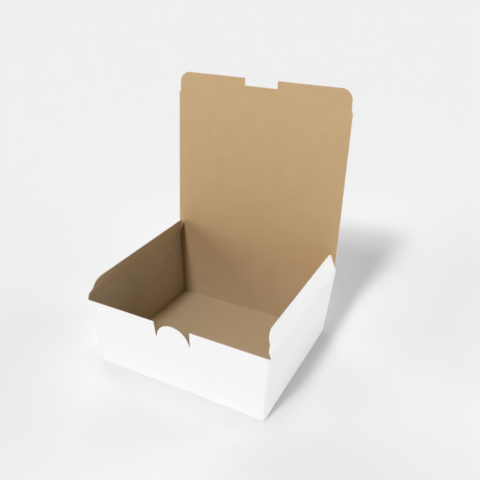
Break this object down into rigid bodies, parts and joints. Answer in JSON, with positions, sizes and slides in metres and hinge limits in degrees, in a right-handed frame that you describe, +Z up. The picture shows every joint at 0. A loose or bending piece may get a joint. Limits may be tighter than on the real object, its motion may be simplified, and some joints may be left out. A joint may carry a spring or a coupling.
{
  "type": "takeaway box",
  "caption": "Folded board takeaway box with flared walls, open hinged lid with a notched tuck flap, side dust flaps and a locking tongue.",
  "frame": {"origin": "centre of the underside of the base panel", "axes": "+Z up out of the tray, front wall with the locking tongue towards -Y, lid on the back wall at +Y, +X to the right seen from the front"},
  "size_m": [0.1286, 0.1185, 0.1719],
  "materials": {
    "tray_board": "white coated outside, bare brown kraft inside",
    "lid_board": "white coated outside, bare brown kraft inside",
    "tuck_board": "white coated outside, bare brown kraft inside",
    "left_flap_board": "white coated outside, bare brown kraft inside",
    "right_flap_board": "white coated outside, bare brown kraft inside"
  },
  "bodies": {
    "tray": {"tray": "tray_board"},
    "lid": {"lid_panel": "lid_board"},
    "tuck_flap": {"tuck_flap": "tuck_board"},
    "left_side_flap": {"left_side_flap": "left_flap_board"},
    "right_side_flap": {"right_side_flap": "right_flap_board"}
  },
  "joints": [
    {"name": "lid_crease", "type": "hinge", "parent": "tray", "child": "lid", "pos_m": [0, 0.05345, 0.05], "axis": [1, 0, 0], "range_deg": [-85, 95]},
    {"name": "tuck_crease", "type": "hinge", "parent": "lid", "child": "tuck_flap", "pos_m": [0, 0.0627, 0.15574], "axis": [1, 0, 0], "range_deg": [-45, 94.4]},
    {"name": "left_flap_crease", "type": "hinge", "parent": "tray", "child": "left_side_flap", "pos_m": [-0.0639, 0, 0.0494], "axis": [0, 1, 0], "range_deg": [-45, 90]},
    {"name": "right_flap_crease", "type": "hinge", "parent": "tray", "child": "right_side_flap", "pos_m": [0.0639, 0, 0.0494], "axis": [0, -1, 0], "range_deg": [-45, 90]}
  ]
}
